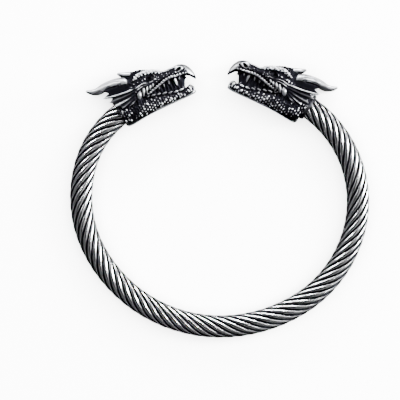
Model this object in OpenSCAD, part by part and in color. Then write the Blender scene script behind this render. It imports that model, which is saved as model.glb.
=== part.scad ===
// Arm ring: an open bangle of ten-wire twisted rope with a cast dragon head on each end.
// Millimetres. The ring lies on its side: +X right, +Y towards the opening, +Z up.

/* [Rope] */
// Outer diameter of the twisted rope
rope_d = 5.66; // [5.4:0.02:5.8]
// Diameter of one wire
wire_d = 1.12; // [1:0.02:1.14]
// Length of rope in which a wire goes once round
lay_length = 26.4; // [24:0.2:34]
// Turn of the first wire at the bottom of the ring
lay_phase = 0; // [0:1:35]
// Diameter of the rod that the wires are laid round
core_d = 2.8; // [2:0.1:2.8]

/* [Ring] */
// Distance from the origin down to the rope's centreline
bottom_y = 31.85; // [31:0.05:33]
// Sideways place of the rope's lowest point
bottom_x = 0.15; // [-0.5:0.05:0.5]
// Height of the rope's centreline above the surface at the origin
rest_height = 3.67; // [3.6:0.01:4]
// Tilt of the ring, which rests on both heads and the bottom of the rope
rest_tilt = 1.6; // [1.4:0.1:2]

/* [Heads] */
// Rise of each head towards its beak
head_rise = 26; // [24:0.5:28]
// Distance from the middle of the ring to the back of the left neck
left_neck_x = 24.65; // [24.4:0.05:24.9]
// Height of the back of the left neck above the origin
left_neck_y = 21.15; // [20.9:0.05:21.4]
// Distance from the middle of the ring to the back of the right neck
right_neck_x = 20.75; // [20.5:0.05:21]
// Height of the back of the right neck above the origin
right_neck_y = 22.1; // [21.9:0.05:22.4]
// Depth to which the rope goes into each neck
socket_depth = 2.8; // [2:0.1:3.2]
// Clearance round the rope and past its end in each neck
socket_gap = 0.22; // [0.2:0.01:0.3]
// Thickness of the neck's lip round the rope
lip_wall = 0.4; // [0.3:0.05:0.6]

/* [Hidden] */

steel = [0.72, 0.72, 0.74];
dark_steel = [0.3, 0.3, 0.32];

// Rope: wires, sides of a wire, and rings of points in one turn
wire_count = 10;
wire_sides = 6;
rings_per_turn = 10;
wire_ring_r = (rope_d - wire_d) / 2;
lay_angle = atan(2 * PI * wire_ring_r / lay_length);

// Sides of the core rod, and the distance between its rings of points
core_sides = 6;
core_step = 5;

// The rope's centreline is a chain of arcs up each side, from the bottom of the ring to the neck
ARC_R = 0;
ARC_SWEEP = 1;
right_arcs = [[38, 32], [30.5, 48], [28.5, 65]];
left_arcs = [[35.5, 62], [29, 45], [24, 36]];

// Sides of the lofts and rods of a head
skull_sides = 12;
jaw_sides = 10;
horn_sides = 8;
rod_sides = 5;
bead_sides = 6;
plate_sides = 5;
tooth_sides = 4;
socket_sides = 20;

// Sections of the skull and the lower jaw: place along the head, top, bottom and half thickness
SEC_U = 0;
SEC_TOP = 1;
SEC_BOTTOM = 2;
SEC_HALF = 3;
skull_rows = [
    [0.6, 3.2, -1.5, 2.6],
    [2.2, 5.0, -1.5, 3.5],
    [4.2, 6.7, -1.2, 3.9],
    [6.0, 7.7, -0.4, 4.05],
    [7.6, 8.2, 0.8, 4.0],
    [9.2, 7.8, 1.7, 3.8],
    [10.9, 7.0, 2.1, 3.5],
    [12.5, 6.1, 2.5, 3.1],
    [14.2, 5.0, 2.8, 2.75],
    [16.0, 4.95, 2.6, 2.6],
    [17.7, 4.95, 2.15, 2.4],
    [18.9, 4.5, 1.65, 2.1],
    [19.6, 3.95, 1.2, 1.75],
    [20.2, 3.25, 0.45, 1.35],
    [20.7, 2.35, -0.2, 0.9],
    [21.0, 1.3, 0.15, 0.45]];
jaw_rows = [
    [0.2, 2.2, -3.4, 3.0],
    [1.6, 2.4, -3.65, 3.5],
    [3.6, 2.2, -3.5, 3.75],
    [5.6, 1.8, -3.3, 3.75],
    [8.6, 1.1, -3.2, 3.4],
    [12.8, -0.3, -3.25, 2.8],
    [14.8, -0.9, -3.3, 2.55],
    [16.6, -1.2, -3.35, 2.3],
    [17.9, -0.95, -3.35, 2.05],
    [18.8, -0.75, -3.3, 1.75],
    [19.5, -1.5, -3.05, 1.2]];

// Rods of a head: place along it, height, distance from its middle plane, half height, half thickness
ROD_U = 0;
ROD_V = 1;
ROD_W = 2;
ROD_RV = 3;
ROD_RW = 4;
large_horn_rows = [
    [5.6, 5.6, 2.4, 1.4, 1.2],
    [3.4, 6.95, 2.6, 1.4, 1.2],
    [1.4, 7.6, 2.8, 1.2, 1.05],
    [-0.8, 7.85, 3.0, 1.0, 0.9],
    [-2.6, 7.65, 3.2, 0.85, 0.75],
    [-4.1, 8.1, 3.35, 0.62, 0.5],
    [-4.95, 8.75, 3.4, 0.34, 0.28]];
small_horn_rows = [
    [7.6, 7.2, 1.3, 0.9, 0.8],
    [6.0, 7.9, 1.4, 0.9, 0.75],
    [4.8, 8.55, 1.55, 0.72, 0.6],
    [3.9, 9.3, 1.65, 0.36, 0.36]];
brow_rows = [
    [13.6, 5.1, 2.5, 0.3, 0.4],
    [12.2, 5.9, 3.0, 0.6, 0.6],
    [10.4, 6.5, 3.35, 0.75, 0.65],
    [8.4, 6.7, 3.6, 0.7, 0.65],
    [6.6, 6.2, 3.7, 0.5, 0.5]];
lip_rows = [
    [7.2, 1.3, 3.12, 0.3, 0.4],
    [10.9, 2.15, 3.25, 0.4, 0.4],
    [14.2, 2.95, 2.6, 0.38, 0.35],
    [16.4, 2.75, 2.35, 0.38, 0.35],
    [18.8, 2.35, 1.8, 0.35, 0.35],
    [19.9, 1.7, 1.05, 0.3, 0.35]];
cheekbone_rows = [
    [4.9, 3.5, 3.5, 0.3, 0.3],
    [6.6, 3.9, 4.1, 0.4, 0.35],
    [8.6, 4.1, 3.85, 0.35, 0.35],
    [10.2, 3.3, 3.3, 0.25, 0.3]];

// Ear frill: roots of its ribs, their tips, and the hollows of its edge between the tips
frill_roots = [[6.1, 4.15], [5.7, 3.45], [5.35, 2.8], [5.1, 2.2], [5.15, 1.65]];
frill_tips = [[-1.9, 5.4], [-0.95, 3.75], [-0.25, 2.3], [1.2, 1.2], [3.05, 0.88]];
frill_webs = [[0.1, 4.5], [0.3, 2.95], [1.0, 1.9], [2.25, 1.4]];

// Edge of its skin between the large horn and the first rib
nape = [[4.3, 6.35], [-1.3, 7.05], [-0.3, 5.95]];

// Half thickness of a rib at the root and the tip, how far out they are, and the skin's thickness and place
rib_root_r = 0.43;
rib_tip_r = 0.2;
rib_root_w = 3.8;
rib_tip_w = 4.0;
rib_sides = 5;
skin_thick = 0.5;
skin_w = 3.55;

// Where the skin starts and ends on a rib
skin_start = 0.06;
skin_end = 0.95;

// Plates of the cheek behind the corner of the mouth: place, height of the middle, width and length
PLATE_U = 0;
PLATE_V = 1;
PLATE_W = 2;
PLATE_LONG = 3;
cheek_plates = [[6.35, 2.25, 1.35, 2.7], [7.65, 2.45, 0.8, 2.2], [8.65, 2.65, 0.7, 1.8],
    [9.6, 2.8, 0.62, 1.4], [10.45, 3.0, 0.55, 1.1]];
cheek_plate_thick = 0.5;

// Depth of a tooth's root in its jaw, and radius of its tip
tooth_root = 0.8;
tooth_tip_r = 0.08;

// Teeth: place, base height, distance from the middle plane, length (down is negative) and base radius
TOOTH_U = 0;
TOOTH_V = 1;
TOOTH_W = 2;
TOOTH_LONG = 3;
TOOTH_R = 4;
teeth = [
    [18.45, 2.15, 1.2, -1.25, 0.4],
    [17.1, 2.3, 1.5, -1.1, 0.4],
    [15.9, 2.6, 1.7, -2.5, 0.52],
    [14.3, 2.7, 1.75, -1.4, 0.4],
    [12.9, 2.5, 1.75, -1.3, 0.4],
    [11.5, 2.2, 1.75, -1.2, 0.4],
    [17.0, -1.3, 1.4, 1.2, 0.4],
    [15.0, -1.0, 1.6, 1.0, 0.4],
    [13.3, -0.5, 1.65, 0.9, 0.4],
    [11.8, -0.1, 1.65, 0.8, 0.4]];

// Eye and nostril of a head
eye_at = [10.8, 4.9, 3.35];
eye_r = 0.6;
socket_size = [1.5, 0.8, 0.95];
nostril_at = [18.1, 4.0, 2.35];
nostril_size = [0.8, 0.42, 0.7];
nostril_slant = 15;

// Mass between the jaws that backs the teeth, seen from the side, and its half thickness
mouth_outline = [[5, 2], [5, -1], [16.8, -1.9], [17.7, -0.3], [18.3, 2.15], [14, 3.2]];
mouth_half = 1.5;

// Length of one arc of a chain
function arc_length(row) = row[ARC_R] * row[ARC_SWEEP] * PI / 180;

// Length of the first arcs of a chain
function chain_length(rows, count) = count == 0 ? 0 : arc_length(rows[count - 1]) + chain_length(rows, count - 1);

// Point and heading after a length along a chain that starts at [0, 0] heading along +X and turns left
function walk(rows, length, row = 0, point = [0, 0], heading = 0) =
    let(radius = rows[row][ARC_R])
    let(last = row == len(rows) - 1)
    let(part = last ? length : min(length, arc_length(rows[row])))
    let(turned = heading + part / radius * 180 / PI)
    let(there = point + radius * [sin(turned) - sin(heading), cos(heading) - cos(turned)])
    last || length <= part ? [there.x, there.y, turned] : walk(rows, length - part, row + 1, there, turned);

// Point and heading on the rope: positive lengths go up the right side, negative ones up the left
function rope_at(length) =
    let(side = length < 0 ? -1 : 1)
    let(end = walk(side < 0 ? left_arcs : right_arcs, abs(length)))
    [bottom_x + side * end.x, end.y - bottom_y, side * end.z];

right_mouth = chain_length(right_arcs, len(right_arcs));
left_mouth = -chain_length(left_arcs, len(left_arcs));
rope_start = left_mouth - socket_depth;
rope_end = right_mouth + socket_depth;

// Faces of a tube of points: rings of equal size, one after the other, with both ends closed
function tube_faces(rings, sides) = concat(
    [[for (k = [0:sides - 1]) k]],
    [for (ring = [0:rings - 2]) each [for (k = [0:sides - 1])
        let(next = (k + 1) % sides)
        each [[ring * sides + k, (ring + 1) * sides + k, ring * sides + next],
            [ring * sides + next, (ring + 1) * sides + k, (ring + 1) * sides + next]]]],
    [[for (k = [sides - 1:-1:0]) (rings - 1) * sides + k]]);

// One ring of points round a wire, whose flat sides face the wires beside it, leaning as the wire does
function wire_ring(length, turn, lean) =
    let(at = rope_at(length))
    let(along = [cos(at.z), sin(at.z), 0])
    let(out = [sin(at.z), -cos(at.z), 0])
    let(angle = 360 * length / lay_length + turn)
    let(radial = cos(angle) * out - [0, 0, sin(angle)])
    let(around = -sin(angle) * out - [0, 0, cos(angle)])
    let(across = cos(lean) * around - sin(lean) * along)
    [for (k = [0:wire_sides - 1])
        [at.x, at.y, 0] + wire_ring_r * radial
            + wire_d / 2 * (cos(360 * k / wire_sides) * radial + sin(360 * k / wire_sides) * across)];

// Lays the ring on its side on the surface
module at_rest() {
    translate([0, 0, rest_height])
        rotate([rest_tilt, 0, 0])
            children();
}

module wire(number) {
    rings = round((rope_end - rope_start) / lay_length * rings_per_turn) + 1;
    step = (rope_end - rope_start) / (rings - 1);
    turn = lay_phase + 360 * number / wire_count;
    points = [for (ring = [0:rings - 1])
        let(cut_end = ring == 0 || ring == rings - 1)
        each wire_ring(rope_start + ring * step, turn, cut_end ? 0 : lay_angle)];
    color(steel)
        at_rest()
            polyhedron(points, tube_faces(rings, wire_sides));
}

// One ring of points round the core rod
function core_ring(length) =
    let(at = rope_at(length))
    [for (k = [0:core_sides - 1])
        let(angle = 360 * k / core_sides)
        [at.x + core_d / 2 * cos(angle) * sin(at.z), at.y - core_d / 2 * cos(angle) * cos(at.z),
            -core_d / 2 * sin(angle)]];

module cable_core() {
    rings = round((rope_end - rope_start) / core_step) + 1;
    step = (rope_end - rope_start) / (rings - 1);
    color(dark_steel)
        at_rest()
            polyhedron([for (ring = [0:rings - 1]) each core_ring(rope_start + ring * step)],
                tube_faces(rings, core_sides));
}

// The same relief on both faces of a head
module both_faces() {
    children();
    mirror([0, 0, 1])
        children();
}

// Solid through sections across the head, whose outline is a rounded box
function section_ring(row, sides) =
    let(middle = (row[SEC_TOP] + row[SEC_BOTTOM]) / 2)
    let(half_height = (row[SEC_TOP] - row[SEC_BOTTOM]) / 2)
    [for (k = [0:sides - 1])
        let(c = cos(360 * (k + 0.5) / sides))
        let(s = sin(360 * (k + 0.5) / sides))
        let(swell = pow(pow(abs(c), 2.6) + pow(abs(s), 2.6), -1 / 2.6))
        [row[SEC_U], middle + half_height * swell * c, row[SEC_HALF] * swell * s]];

module loft(rows, sides) {
    polyhedron([for (row = rows) each section_ring(row, sides)], tube_faces(len(rows), sides));
}

// Rod along a bent line at one face of the head, with oval sections square to the line
function rod_ring(rows, i, sides) =
    let(ahead = rows[min(i + 1, len(rows) - 1)])
    let(behind = rows[max(i - 1, 0)])
    let(run = [ahead[ROD_U] - behind[ROD_U], ahead[ROD_V] - behind[ROD_V]])
    let(side = [-run.y, run.x] / norm(run))
    [for (k = [0:sides - 1])
        let(rise = rows[i][ROD_RV] * cos(360 * k / sides))
        [rows[i][ROD_U] + side.x * rise, rows[i][ROD_V] + side.y * rise,
            rows[i][ROD_W] + rows[i][ROD_RW] * sin(360 * k / sides)]];

module rod(rows, sides) {
    polyhedron([for (i = [0:len(rows) - 1]) each rod_ring(rows, i, sides)], tube_faces(len(rows), sides));
}

// Place on a rib, as a share of the way from its root to its tip
function on_rib(i, share) = frill_roots[i] + share * (frill_tips[i] - frill_roots[i]);

// Ear frill: thin ribs that sweep back from the cheek, and a scalloped skin under them
module frill() {
    last = len(frill_tips) - 1;
    edge = [for (i = [0:last]) each (i < last ? [on_rib(i, skin_end), frill_webs[i]] : [on_rib(i, skin_end)])];
    translate([0, 0, skin_w])
        linear_extrude(skin_thick)
            polygon(concat(nape, edge, [on_rib(last, skin_start), on_rib(0, skin_start)]));
    for (i = [0:last])
        rod([[frill_roots[i].x, frill_roots[i].y, rib_root_w, rib_root_r, rib_root_r],
            [frill_tips[i].x, frill_tips[i].y, rib_tip_w, rib_tip_r, rib_tip_r]], rib_sides);
}

// Half thickness of the skull at a place along the head
function skull_half(u) = lookup(u, [for (row = skull_rows) [row[SEC_U], row[SEC_HALF]]]);

module cheek_plate(row) {
    face = skull_half(row[PLATE_U]);
    reach = (row[PLATE_LONG] - row[PLATE_W]) / 2;
    hull()
        for (end = [-1, 1])
            translate([row[PLATE_U] + end * reach * 0.6, row[PLATE_V] + end * reach, face - 0.25])
                scale([row[PLATE_W] / 2, row[PLATE_W] / 2, cheek_plate_thick])
                    sphere(r = 1, $fn = plate_sides);
}

module tooth(row) {
    down = row[TOOTH_LONG] < 0;
    translate([row[TOOTH_U], row[TOOTH_V] + (down ? tooth_root : -tooth_root), row[TOOTH_W]])
        rotate([down ? 90 : -90, 0, 0])
            cylinder(r1 = row[TOOTH_R], r2 = tooth_tip_r, h = abs(row[TOOTH_LONG]) + tooth_root, $fn = tooth_sides);
}

module mouth_mass() {
    linear_extrude(2 * mouth_half, center = true)
        polygon(mouth_outline);
}

module relief() {
    rod(large_horn_rows, horn_sides);
    rod(small_horn_rows, rod_sides);
    rod(brow_rows, rod_sides);
    rod(lip_rows, rod_sides);
    rod(cheekbone_rows, rod_sides);
    frill();
    for (plate = cheek_plates)
        cheek_plate(plate);
    for (row = teeth)
        tooth(row);
}

// Hollows of the eye and the nostril at one face of the head
module hollows() {
    translate([eye_at.x, eye_at.y, eye_at.z + socket_size.z * 0.5])
        scale(socket_size)
            sphere(r = 1, $fn = bead_sides);
    translate(nostril_at)
        rotate([0, 0, nostril_slant])
            scale(nostril_size)
                sphere(r = 1, $fn = bead_sides);
}

// A whole casting without its socket, beak towards +X and crown towards +Y
module casting() {
    difference() {
        union() {
            loft(skull_rows, skull_sides);
            loft(jaw_rows, jaw_sides);
            mouth_mass();
            both_faces()
                relief();
        }
        both_faces()
            hollows();
    }
    both_faces()
        translate([eye_at.x, eye_at.y, eye_at.z - eye_r])
            sphere(r = eye_r, $fn = bead_sides);
}

// Round solid along the stretch of rope in the neck, from its mouth: depth and radius at both ends
module along_rope(length, from, to, r1, r2) {
    side = length < 0 ? -1 : 1;
    mouth = rope_at(length);
    heading = rope_at(length + side * socket_depth / 2).z + (side < 0 ? 180 : 0);
    translate([mouth.x, mouth.y, 0])
        rotate([0, 0, heading])
            rotate([0, 90, 0])
                translate([0, 0, from])
                    cylinder(r1 = r1, r2 = r2, h = to - from, $fn = socket_sides);
}

// A casting on the end of the rope, with its socket
module dragon_head(length) {
    side = length < 0 ? -1 : 1;
    neck = side < 0 ? [-left_neck_x, left_neck_y] : [right_neck_x, right_neck_y];
    bore_r = rope_d / 2 + socket_gap;
    color(steel)
        at_rest()
            difference() {
                union() {
                    along_rope(length, 0, socket_depth, bore_r + lip_wall, bore_r + 2 * lip_wall);
                    translate(neck)
                        mirror([side > 0 ? 1 : 0, 0, 0])
                            rotate([0, 0, head_rise])
                                casting();
                }
                along_rope(length, -3, socket_depth + socket_gap, bore_r, bore_r);
            }
}

wire(0);  // wire_01
wire(1);  // wire_02
wire(2);  // wire_03
wire(3);  // wire_04
wire(4);  // wire_05
wire(5);  // wire_06
wire(6);  // wire_07
wire(7);  // wire_08
wire(8);  // wire_09
wire(9);  // wire_10
cable_core();
dragon_head(left_mouth);  // dragon_head_left
dragon_head(right_mouth);  // dragon_head_right
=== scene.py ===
# Arm ring of twisted steel rope with a cast dragon head on each end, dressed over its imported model.
# Lengths are millimetres, unless a name says metres; to_world turns points to metres when a piece is made.
import math

import bpy
import numpy as np
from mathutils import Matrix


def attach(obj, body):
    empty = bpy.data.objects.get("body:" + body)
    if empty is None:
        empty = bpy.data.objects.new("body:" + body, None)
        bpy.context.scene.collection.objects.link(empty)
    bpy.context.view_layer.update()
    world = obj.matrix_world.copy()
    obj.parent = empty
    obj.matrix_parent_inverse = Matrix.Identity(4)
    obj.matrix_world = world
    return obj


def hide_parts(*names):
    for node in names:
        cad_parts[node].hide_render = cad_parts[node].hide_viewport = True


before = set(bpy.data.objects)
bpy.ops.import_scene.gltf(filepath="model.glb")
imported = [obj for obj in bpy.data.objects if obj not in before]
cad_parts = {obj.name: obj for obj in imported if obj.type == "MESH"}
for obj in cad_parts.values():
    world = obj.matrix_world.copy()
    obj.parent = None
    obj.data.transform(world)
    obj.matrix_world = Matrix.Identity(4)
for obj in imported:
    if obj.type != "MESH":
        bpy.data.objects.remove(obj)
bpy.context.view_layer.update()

SEED = 7
MM_PER_METRE = 1000.0

# The rope, as in the part's source: its centreline is a chain of arcs (radius, sweep) up each side
ROPE_D = 5.66
WIRE_COUNT = 10
WIRE_D = 1.23
WIRE_RING_R = (ROPE_D - WIRE_D) / 2
LAY_LENGTH = 26.4
RIGHT_ARCS = ((38.0, 32.0), (30.5, 48.0), (28.5, 65.0))
LEFT_ARCS = ((35.5, 62.0), (29.0, 45.0), (24.0, 36.0))
BOTTOM = (0.15, -31.85)
SOCKET_DEPTH = 2.8
SOCKET_GAP = 0.12
LIP_WALL = 0.4
BORE_R = ROPE_D / 2 + SOCKET_GAP

# How the ring lies: height and tilt of its middle plane, and the least height of any point
REST_HEIGHT = 3.67
REST_TILT = math.radians(1.6)
REST_GAP = 0.01

# The heads: where the back of each neck is, which way along X the head points, and how steeply it rises
NECKS = {"left": (-24.65, 21.15), "right": (20.75, 22.1)}
HANDS = {"left": 1, "right": -1}
HEAD_RISE = math.radians(26.0)

# The photograph's frame: its width, its scale, and the pixel at which the ring's own origin is seen
PHOTO_W = 400
MM_PER_PX = 0.25
RING_PX = (219.5, 199.3)
CAMERA_HEIGHT_METRES = 0.62
CAMERA_CLIP_METRES = 0.01
SENSOR_MM = 36.0


def to_world(points):
    """Points about the ring's middle plane to metres on the surface, rubbed flat where the metal rests."""
    x, y, z = np.asarray(points, float).T
    c, s = math.cos(REST_TILT), math.sin(REST_TILT)
    height = np.maximum(y * s + z * c + REST_HEIGHT, REST_GAP)
    return np.stack([x, y * c - z * s, height], axis=-1) / MM_PER_METRE


def walk(arcs, length):
    """Point and heading a length along a chain of arcs, which starts at (0, 0) along +X and turns left."""
    x = y = heading = 0.0
    for number, (radius, sweep) in enumerate(arcs):
        whole = radius * math.radians(sweep)
        last = number == len(arcs) - 1
        part = length if last else min(length, whole)
        turned = heading + part / radius
        x += radius * (math.sin(turned) - math.sin(heading))
        y += radius * (math.cos(heading) - math.cos(turned))
        heading = turned
        length -= part
        if length <= 0 and not last:
            break
    return x, y, heading


def rope_at(length):
    """Point and heading on the rope's centreline: positive lengths go up the right side, others the left."""
    side = -1 if length < 0 else 1
    x, y, heading = walk(LEFT_ARCS if side < 0 else RIGHT_ARCS, abs(length))
    return BOTTOM[0] + side * x, BOTTOM[1] + y, side * heading


def chain_length(arcs):
    return sum(radius * math.radians(sweep) for radius, sweep in arcs)


MOUTHS = {"left": -chain_length(LEFT_ARCS), "right": chain_length(RIGHT_ARCS)}


def new_object(name, data):
    made = bpy.data.objects.new(name, data)
    bpy.context.scene.collection.objects.link(made)
    return made


def make_mesh(name, points, faces, attributes=None, uv=None):
    """A mesh object at the origin from points in metres and quads, with float attributes on its points."""
    mesh = bpy.data.meshes.new(name)
    faces = np.asarray(faces, np.int32)
    mesh.vertices.add(len(points))
    mesh.vertices.foreach_set("co", np.asarray(points, np.float32).ravel())
    mesh.loops.add(faces.size)
    mesh.loops.foreach_set("vertex_index", faces.ravel())
    mesh.polygons.add(len(faces))
    mesh.polygons.foreach_set("loop_start", np.arange(0, faces.size, faces.shape[1], dtype=np.int32))
    mesh.polygons.foreach_set("use_smooth", np.ones(len(faces), bool))
    mesh.update(calc_edges=True)
    for key, values in (attributes or {}).items():
        layer = mesh.attributes.new(key, "FLOAT", "POINT")
        layer.data.foreach_set("value", np.asarray(values, np.float32))
    if uv is not None:
        layer = mesh.uv_layers.new(name="along")
        layer.data.foreach_set("uv", np.asarray(uv, np.float32)[faces.ravel()].ravel())
    mesh.validate()
    return new_object(name, mesh)


# Wires

# How many sides a wire's section has, and how far apart the sections are along the rope
WIRE_SIDES = 16
WIRE_STEP = 0.42


def wire_points(number):
    """Rings of points along a wire, how far each faces out of the rope, its UV place, and how many rings."""
    start, end = MOUTHS["left"] - SOCKET_DEPTH, MOUTHS["right"] + SOCKET_DEPTH
    count = int(round((end - start) / WIRE_STEP)) + 1
    lengths = np.linspace(start, end, count)
    x, y, heading = np.array([rope_at(s) for s in lengths]).T
    out = np.stack([np.sin(heading), -np.cos(heading), 0 * heading], axis=-1)
    along = np.stack([np.cos(heading), np.sin(heading), 0 * heading], axis=-1)
    up = np.array([0.0, 0.0, 1.0])
    angle = 2 * math.pi * (lengths / LAY_LENGTH + number / WIRE_COUNT)
    ca, sa = np.cos(angle)[:, None], np.sin(angle)[:, None]
    radial = ca * out - sa * up
    around = -sa * out - ca * up
    lean = math.atan(2 * math.pi * WIRE_RING_R / LAY_LENGTH)
    across = math.cos(lean) * around - math.sin(lean) * along
    centre = np.stack([x, y, 0 * x], axis=-1) + WIRE_RING_R * radial
    turn = 2 * math.pi * np.arange(WIRE_SIDES) / WIRE_SIDES
    rings = (centre[:, None, :] + WIRE_D / 2 * (np.cos(turn)[None, :, None] * radial[:, None, :]
                                                + np.sin(turn)[None, :, None] * across[:, None, :]))
    facing = np.broadcast_to(np.cos(turn), (count, WIRE_SIDES))
    uv = np.stack(np.broadcast_arrays(lengths[:, None] / math.cos(lean), turn[None, :] * WIRE_D / 2), axis=-1)
    return rings.reshape(-1, 3), facing.ravel(), uv.reshape(-1, 2), count


def tube_quads(rings, sides):
    """Quads of a tube's wall and of its two flat ends."""
    ring, side = np.meshgrid(np.arange(rings - 1), np.arange(sides), indexing="ij")
    here, beside = ring * sides + side, ring * sides + (side + 1) % sides
    wall = np.stack([here, beside, beside + sides, here + sides], axis=-1).reshape(-1, 4)
    k = np.arange(sides // 2 - 1)
    end = np.stack([k, k + 1, sides - 2 - k, sides - 1 - k], axis=-1)
    return np.vstack([end[:, ::-1], wall, end + (rings - 1) * sides])


def make_wire(number, material):
    points, facing, uv, count = wire_points(number)
    node = f"wire_{number + 1:02d}"
    piece = make_mesh(f"rope_{node}", to_world(points), tube_quads(count, WIRE_SIDES),
                      {"facing": facing}, uv)
    piece.data.materials.append(material)
    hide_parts(node)
    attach(piece, "root")


# Sculpting

# A head is a field of distances on a grid of its upper half, negative inside the metal
CELL = 0.135
GRID_LOW = (-5.9, -4.3)
GRID_HIGH = (21.8, 10.3)
GRID_HALF = 5.3

# Distances to start from: in the empty grid, and for a part
EMPTY = 5.0
FAR = 9.0

# Steps between a loft's sections, and how far past each kind of part the grid is worked on
LOFT_STEPS = 8
LOFT_ROOM = 0.6
ROD_ROOM = 0.35
BALL_ROOM = 0.2

# Rays that look for the outside of a section: where they start and end, and their step
RAY_START = 0.3
RAY_END = 5.5
RAY_STEP = 0.04


def smooth_union(a, b, blend):
    if blend <= 0:
        return np.minimum(a, b)
    h = np.clip(0.5 + 0.5 * (b - a) / blend, 0, 1)
    return b + (a - b) * h - blend * h * (1 - h)


def smooth_cut(a, b, blend):
    """a without b."""
    return -smooth_union(-a, b, blend)


def curve_through(rows, steps):
    """Rows of a table, with a smooth curve's points between them."""
    rows = np.asarray(rows, float)
    padded = np.vstack([2 * rows[0] - rows[1], rows, 2 * rows[-1] - rows[-2]])
    t = np.arange(steps)[:, None] / steps
    made = []
    for p0, p1, p2, p3 in zip(padded, padded[1:], padded[2:], padded[3:]):
        made.append(0.5 * (2 * p1 + (p2 - p0) * t + (2 * p0 - 5 * p1 + 4 * p2 - p3) * t ** 2
                           + (3 * p1 - p0 - 3 * p2 + p3) * t ** 3))
    return np.vstack(made + [rows[-1:]])


def sample(field, places):
    """Values of a grid between its points, at places counted in cells."""
    base = np.clip(np.floor(places).astype(int), 0, np.array(field.shape) - 2)
    t = places - base
    value = np.zeros(len(places))
    for corner in np.ndindex(2, 2, 2):
        weight = np.prod(np.where(corner, t, 1 - t), axis=1)
        i, j, k = (base + corner).T
        value += weight * field[i, j, k]
    return value


def along_line(x, y, start, end):
    """How far along a straight line the place nearest to each point is, from 0 to 1, and how far off it."""
    run = end - start
    t = np.clip(((x - start[0]) * run[0] + (y - start[1]) * run[1]) / (run @ run), 0, 1)
    return t, np.hypot(x - start[0] - t * run[0], y - start[1] - t * run[1])


def distance_to_polygon(x, y, ring):
    """Distances in a plane to a closed outline, negative inside it."""
    away = np.full(np.broadcast_shapes(x.shape, y.shape), FAR)
    inside = np.zeros(away.shape, bool)
    for a, b in zip(ring, np.roll(ring, -1, axis=0)):
        away = np.minimum(away, along_line(x, y, a, b)[1])
        crosses = (a[1] > y) != (b[1] > y)
        rise = b[1] - a[1] if b[1] != a[1] else 1e-9
        inside ^= crosses & (x < (b[0] - a[0]) * (y - a[1]) / rise + a[0])
    return np.where(inside, -away, away)


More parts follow.
